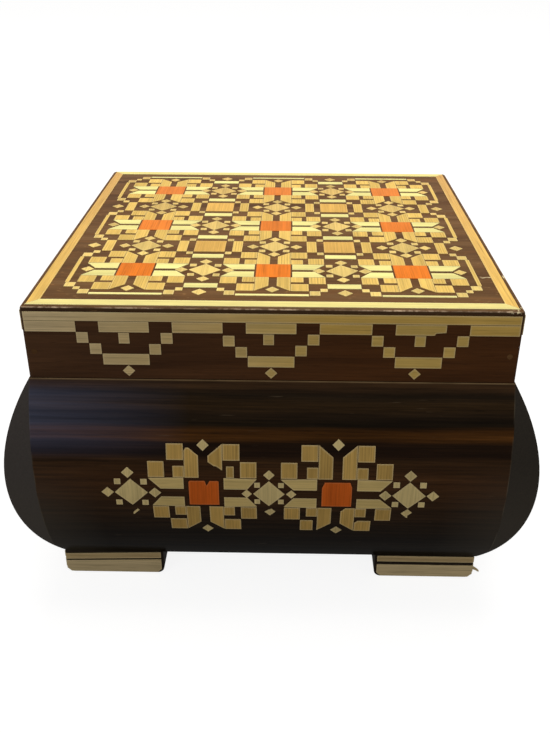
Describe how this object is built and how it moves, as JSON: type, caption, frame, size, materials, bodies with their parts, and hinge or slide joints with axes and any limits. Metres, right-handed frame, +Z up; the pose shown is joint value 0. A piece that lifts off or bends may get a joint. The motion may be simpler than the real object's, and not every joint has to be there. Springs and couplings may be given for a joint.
{
  "type": "straw inlay box",
  "caption": "Square hinged wooden box with a bulging case on low corner feet, its lid and sides inlaid with geometric straw stars, diamonds and strips.",
  "frame": {"origin": "on the floor under the middle of the box", "axes": "+Z up, the front faces -Y, +X to the right of someone who looks at the front"},
  "size_m": [0.2032, 0.2029, 0.1268],
  "materials": {
    "case_wood": "dark stain under varnish",
    "lid_wood": "brown stain under varnish",
    "straw_pale": "split straw under varnish",
    "straw_golden": "split straw under varnish",
    "straw_tan": "split straw under varnish",
    "straw_orange": "dyed split straw under varnish",
    "hinge_brass": "dull"
  },
  "bodies": {
    "case": {"case_front": "case_wood", "case_back": "case_wood", "case_left": "case_wood", "case_right": "case_wood", "case_bottom": "case_wood", "foot_front_left": "case_wood", "foot_front_right": "case_wood", "foot_back_left": "case_wood", "foot_back_right": "case_wood", "foot_straw": "straw_golden", "case_hinge_leaves": "hinge_brass", "hinge_pins": "hinge_brass", "frieze_hearts": "straw_orange", "frieze_pale_arms": "straw_pale", "frieze_golden_arms": "straw_golden", "frieze_medallions": "straw_pale"},
    "lid": {"lid_panel": "lid_wood", "lid_rail_front": "lid_wood", "lid_rail_back": "lid_wood", "lid_rail_left": "lid_wood", "lid_rail_right": "lid_wood", "lid_rail_pegs": "lid_wood", "lid_hinge_leaves": "hinge_brass", "border_front_back": "straw_pale", "border_sides": "straw_tan", "top_hearts": "straw_orange", "top_pale_arms": "straw_pale", "top_golden_arms": "straw_golden", "top_tan_squares": "straw_tan", "top_medallions": "straw_pale", "rail_strips": "straw_golden", "rail_motifs": "straw_golden"}
  },
  "joints": [
    {"name": "lid_hinge", "type": "hinge", "parent": "case", "child": "lid", "pos_m": [0, 0.0929, 0.09765], "axis": [-1, 0, 0], "range_deg": [0, 105]}
  ]
}
